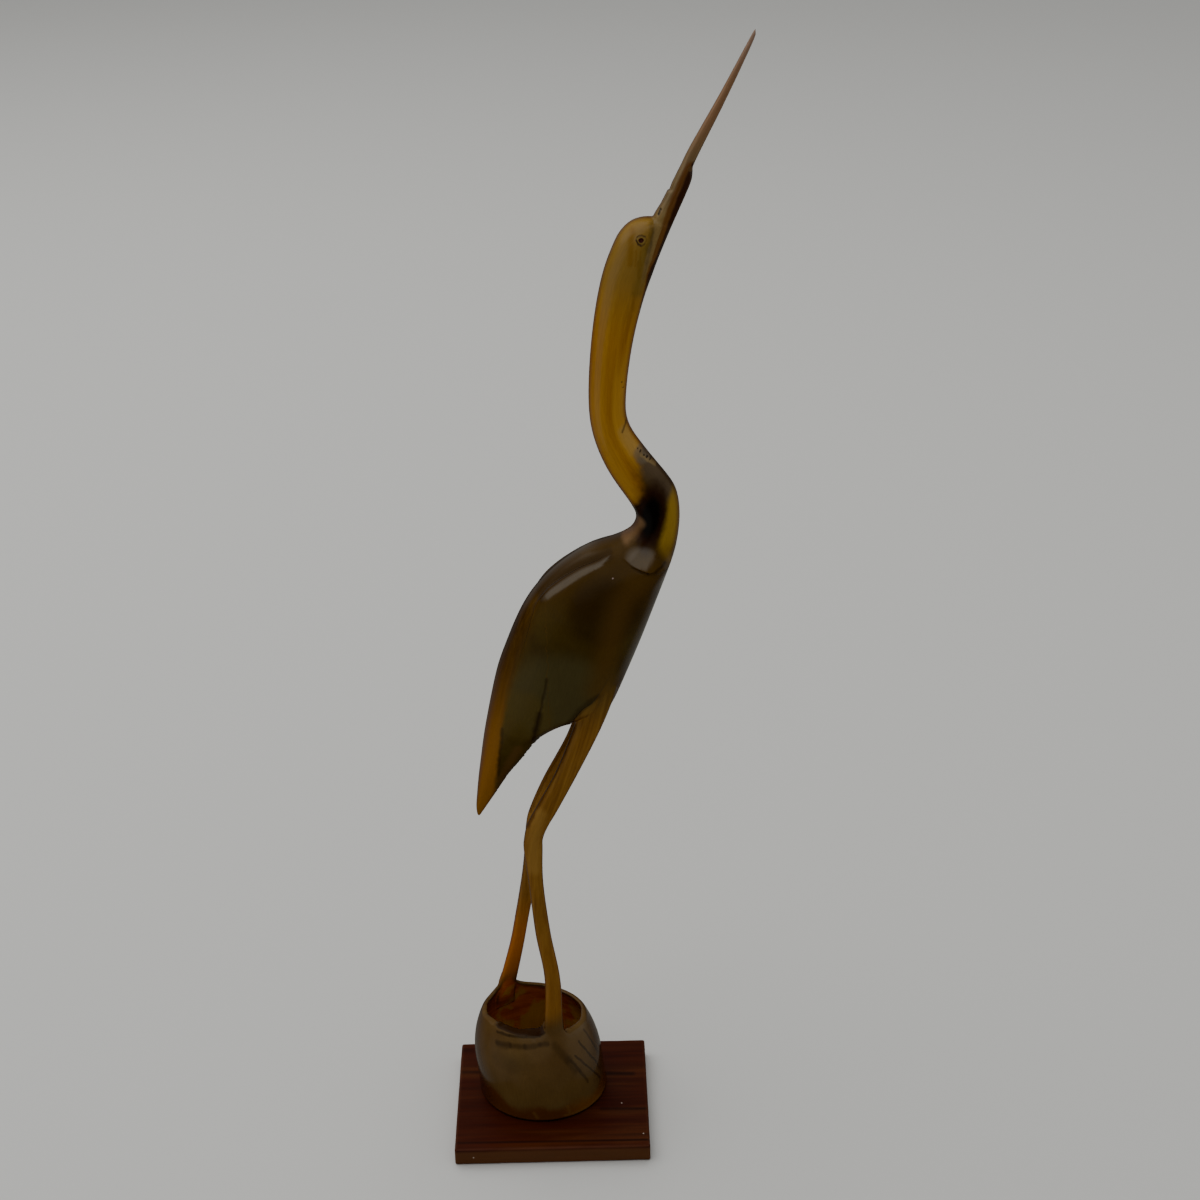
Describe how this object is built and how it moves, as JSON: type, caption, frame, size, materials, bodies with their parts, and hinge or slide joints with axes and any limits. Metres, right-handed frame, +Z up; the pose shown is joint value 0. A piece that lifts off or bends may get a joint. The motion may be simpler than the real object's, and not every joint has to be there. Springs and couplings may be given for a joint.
{
  "type": "carved horn heron figurine",
  "caption": "Slender heron carved from one polished horn, bill raised, standing on strip legs above an open pot on a thin rectangular hardwood plinth.",
  "frame": {"origin": "middle of the plinth's underside, on the surface that the figure stands on", "axes": "+Z up towards the bill, +X the way the bird faces, +Y towards the bird's left flank, along the plinth's shorter side"},
  "size_m": [0.1024, 0.06, 0.379],
  "materials": {
    "polished_horn": "hand-polished cattle horn, translucent honey brown to black, satin gloss",
    "hardwood": "red-brown hardwood, rubbed satin finish, eased edges"
  },
  "bodies": {
    "root": {"horn_heron": "polished_horn", "plinth": "hardwood"}
  },
  "joints": []
}
